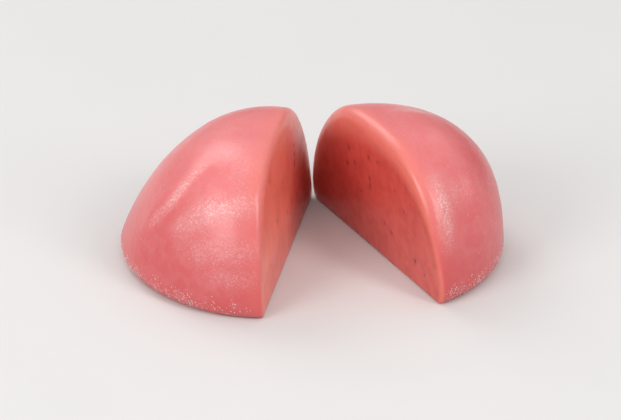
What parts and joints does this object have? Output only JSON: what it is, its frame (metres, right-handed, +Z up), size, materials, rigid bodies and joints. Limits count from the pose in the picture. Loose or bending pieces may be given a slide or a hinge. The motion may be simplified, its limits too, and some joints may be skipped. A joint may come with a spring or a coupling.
{
  "type": "mochi rice cake",
  "caption": "Soft pink mochi rice cake, a low round dome with a flat base, cut through with a knife and opened like a book to show its smooth salmon-red cut faces.",
  "frame": {"origin": "middle of the footprint's bounding box, on the surface that the cake rests on", "axes": "+Z up; the V-shaped opening between the halves faces -Y; the larger half lies towards -X and the smaller one towards +X"},
  "size_m": [0.0706, 0.0504, 0.026],
  "materials": {
    "dough": "satin, waxy and slightly translucent",
    "powder": "matt, fine dry grains"
  },
  "bodies": {
    "root": {"half_left": "dough", "half_right": "dough"}
  },
  "joints": []
}
